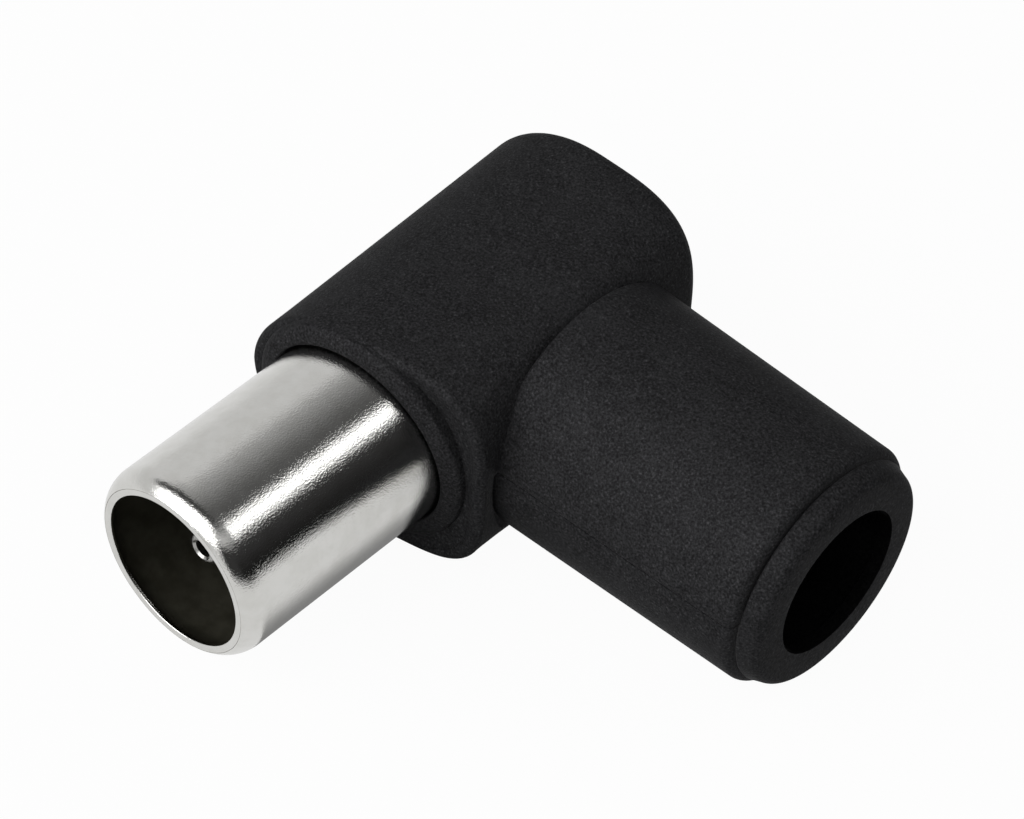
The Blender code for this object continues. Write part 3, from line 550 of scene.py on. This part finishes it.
def refinish(node, finish):
    """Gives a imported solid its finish, where its own shape is right."""
    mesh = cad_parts[node].data
    mesh.materials.clear()
    mesh.materials.append(finish)


white_moulding = cloudy_moulding("white_moulding")
refinish("front_insulator", white_moulding)
refinish("rear_insulator", white_moulding)

# Screen: a die-cast elbow behind the sleeve, and a claw of nickel-plated sheet that grips the cable's braid.
# The casting is grey and a little rough, and the sheet is bright.


def die_casting(name):
    """Grey zinc casting with faint flow marks and fine pores."""
    finish, shade = new_finish(name)
    place = shade.node("TexCoord", output="Object")
    flow = shade.node("TexNoise", values={"Vector": place, "Scale": 500, "Detail": 4, "Roughness": 0.6})
    pores = shade.node("TexNoise", values={"Vector": place, "Scale": 5200, "Detail": 2, "Roughness": 0.6})
    colour = flow.band(0.3, 0.7).mix((0.40, 0.40, 0.41, 1), (0.55, 0.55, 0.56, 1))
    bump = shade.node("Bump", values={"Strength": 0.5, "Distance": 0.000010, "Height": pores})
    surface = shade.node("BsdfPrincipled", values={
        "Base Color": colour, "Metallic": 1.0, "Roughness": 0.36 + 0.2 * flow, "Normal": bump})
    shade.node("OutputMaterial", values={"Surface": surface})
    return finish


refinish("screen_elbow", die_casting("die_casting"))
refinish("braid_claw", bright_nickel("claw_nickel"))

# Conductor bar and its screw: a milled brass bar that holds the cable's wire under a slotted steel screw.
# The brass is bare and lightly scratched, and the screw is zinc plated.


def machined_metal(name, dark, light, roughness):
    """Bare metal with fine cutter marks along the bar."""
    finish, shade = new_finish(name)
    place = shade.node("TexCoord", output="Object")
    cut = shade.node("Mapping", values={"Vector": place, "Scale": (0.1, 1, 1)})
    marks = shade.node("TexNoise", values={"Vector": cut, "Scale": 7000, "Detail": 2, "Roughness": 0.5})
    tarnish = shade.node("TexNoise", values={"Vector": place, "Scale": 480, "Detail": 3, "Roughness": 0.6})
    bump = shade.node("Bump", values={"Strength": 0.4, "Distance": 0.000004, "Height": marks})
    surface = shade.node("BsdfPrincipled", values={
        "Base Color": tarnish.band(0.3, 0.7).mix(dark, light), "Metallic": 1.0,
        "Roughness": roughness + 0.14 * marks, "Normal": bump})
    shade.node("OutputMaterial", values={"Surface": surface})
    return finish


refinish("conductor_bar", machined_metal("bare_brass", (0.58, 0.40, 0.17, 1), (0.74, 0.54, 0.26, 1), 0.22))
refinish("terminal_screw", machined_metal("screw_zinc", (0.42, 0.42, 0.43, 1), (0.58, 0.58, 0.60, 1), 0.24))

# Studio: a white table that carries on to the horizon, in a room that is white low down and grey overhead.
# A large soft light and a narrow strip light the plug, and dark and grey cards shape the metal's sheen.
# The strip, the flag and the grey card stand beside the sleeve, and the shade card lies under it.
TABLE_SIZE, TABLE_GAP = 6, 0.00002


def white_table(name):
    """White table that keeps the plug's shadow, and shows almost white to the camera and in metal."""
    finish, shade = new_finish(name)
    camera_ray = shade.node("LightPath", output="Is Camera Ray")
    glossy_ray = shade.node("LightPath", output="Is Glossy Ray")
    clear_ray = shade.node("LightPath", output="Is Transmission Ray")
    glow = camera_ray * 0.96 + glossy_ray * 0.70 + clear_ray * 0.96
    matt = shade.node("BsdfDiffuse", values={"Color": (0.64, 0.64, 0.64, 1)})
    white = shade.node("Emission", values={"Color": (1, 1, 1, 1), "Strength": 1.0})
    surface = shade.node("MixShader", values={0: glow, 1: matt, 2: white})
    shade.node("OutputMaterial", values={"Surface": surface})
    return finish


def flat_card(name, finish):
    """A flat square of the studio, 1 m across until it is scaled."""
    bm = bmesh.new()
    bmesh.ops.create_grid(bm, x_segments=1, y_segments=1, size=0.5)
    mesh = bpy.data.meshes.new(name)
    bm.to_mesh(mesh)
    bm.free()
    mesh.materials.append(finish)
    piece = bpy.data.objects.new(name, mesh)
    bpy.context.scene.collection.objects.link(piece)
    return piece


table = flat_card("table", white_table("table_white"))
table.scale = (TABLE_SIZE, TABLE_SIZE, 1)
table.location.z = -TABLE_GAP

room = bpy.data.worlds.new("room")
bpy.context.scene.world = room
room.use_nodes = True
room.node_tree.nodes.clear()
shade = Shade(room.node_tree)
direction = shade.node("TexCoord", output="Generated")
height = shade.node("SeparateXYZ", values={0: direction}, output="Z")
wall = height.band(-0.10, 0.12).mix((0.96, 0.96, 0.96, 1), (0.75, 0.75, 0.75, 1))
ceiling = height.band(0.66, 0.92).mix(wall, (0.35, 0.35, 0.35, 1))
soft = shade.node("LightPath", output="Is Diffuse Ray").mix(ceiling, (0.40, 0.40, 0.40, 1))
light = shade.node("LightPath", output="Is Camera Ray").mix(soft, (1, 1, 1, 1))
background = shade.node("Background", values={"Color": light, "Strength": 1.0})
shade.node("OutputWorld", values={"Surface": background})


def aim(light_or_card, direction_from_part, distance):
    """Stands a light or card at a distance, with its face to the plug and its length along the sleeve."""
    towards = Vector(direction_from_part).normalized()
    length = (Vector((0, 1, 0)) - towards * towards.y).normalized()
    turn = Matrix((length.cross(towards), length, towards)).transposed().to_4x4()
    light_or_card.matrix_world = Matrix.Translation(CROSSING + towards * distance) @ turn


def soft_light(name, direction_from_part, distance, width, length, brightness):
    """A lamp with a soft rectangular face, as bright per area as its last value says."""
    lamp = bpy.data.lights.new(name, "AREA")
    lamp.shape, lamp.size, lamp.size_y = "RECTANGLE", width, length
    lamp.energy = brightness * math.pi * width * length
    light = bpy.data.objects.new(name, lamp)
    bpy.context.scene.collection.objects.link(light)
    aim(light, direction_from_part, distance)


def card(name, direction_from_part, distance, width, length, near_edge, far_edge):
    """A card that shows only in reflections, and grows brighter towards its near long edge."""
    finish, shade = new_finish(name)
    place = shade.node("TexCoord", output="Object")
    across = shade.node("SeparateXYZ", values={0: place}, output="X")
    near = 1 - across.band(-0.5, 0.5)
    tone = (near * near).mix((far_edge,) * 3 + (1,), (near_edge,) * 3 + (1,))
    surface = shade.node("Emission", values={"Color": tone, "Strength": 1.0})
    shade.node("OutputMaterial", values={"Surface": surface})
    piece = flat_card(name, finish)
    aim(piece, direction_from_part, distance)
    piece.scale = (width, length, 1)
    piece.visible_camera = piece.visible_diffuse = piece.visible_shadow = False
    piece.visible_transmission = piece.visible_volume_scatter = False
    return piece


def beside_sleeve(turn_deg, along):
    """Direction out from the sleeve's axis at a turn, and some way along it towards the block."""
    a = math.radians(turn_deg)
    return (math.cos(a), along, math.sin(a))


soft_light("front_softbox", (-0.20, -0.74, 0.62), 0.50, 0.64, 0.38, 3.5)
soft_light("strip_light", beside_sleeve(56, 0.62), 0.60, 0.102, 0.46, 2.1)
card("dark_flag", beside_sleeve(19.8, 0.12), 0.62, 0.60, 1.15, 0.05, 0.010)
card("grey_card", beside_sleeve(92, 0.38), 0.66, 0.62, 0.80, 0.44, 0.10)
card("front_flag", (0.72, -0.62, 0.30), 0.60, 0.46, 0.40, 0.04, 0.04)
card("lip_card", (-0.30, -0.22, 0.93), 0.60, 1.10, 0.17, 0.05, 0.05)
# Painted shadow: this card, seen only in the sleeve's reflection, stands in for the sleeve's shadow on the
# table.
table_shade = card("table_shade", (0, 0, -1), 0.006, 0.009, 0.015, 0.85, 0.25)
table_shade.location = CROSSING + Vector((6.5, -9.5, -6.525)) * MM

# Camera: looks down on the plug from the front right, with the lens that the picture was taken with.
CAMERA_TURN, CAMERA_TILT, CAMERA_ROLL = (math.radians(d) for d in (39.98, 47.20, 3.63))
CAMERA_DISTANCE, CAMERA_ASIDE, CAMERA_ABOVE = 0.18015, 0.001218, -0.003347
SENSOR_WIDTH, LENS = 36, 138.16

level = Vector((math.cos(CAMERA_TURN), math.sin(CAMERA_TURN), 0))
backward = Vector((math.sin(CAMERA_TURN) * math.cos(CAMERA_TILT),
                   -math.cos(CAMERA_TURN) * math.cos(CAMERA_TILT), math.sin(CAMERA_TILT)))
upward = backward.cross(level)
side = level * math.cos(CAMERA_ROLL) + upward * math.sin(CAMERA_ROLL)
top = upward * math.cos(CAMERA_ROLL) - level * math.sin(CAMERA_ROLL)
camera_data = bpy.data.cameras.new("camera")
camera_data.sensor_width, camera_data.lens = SENSOR_WIDTH, LENS
camera_data.clip_start, camera_data.clip_end = 0.005, 20
camera = bpy.data.objects.new("camera", camera_data)
bpy.context.scene.collection.objects.link(camera)
camera.matrix_world = Matrix((side, top, backward)).transposed().to_4x4()
camera.location = CROSSING + backward * CAMERA_DISTANCE + side * CAMERA_ASIDE + top * CAMERA_ABOVE
bpy.context.scene.camera = camera
bpy.context.scene.view_settings.view_transform = "Standard"
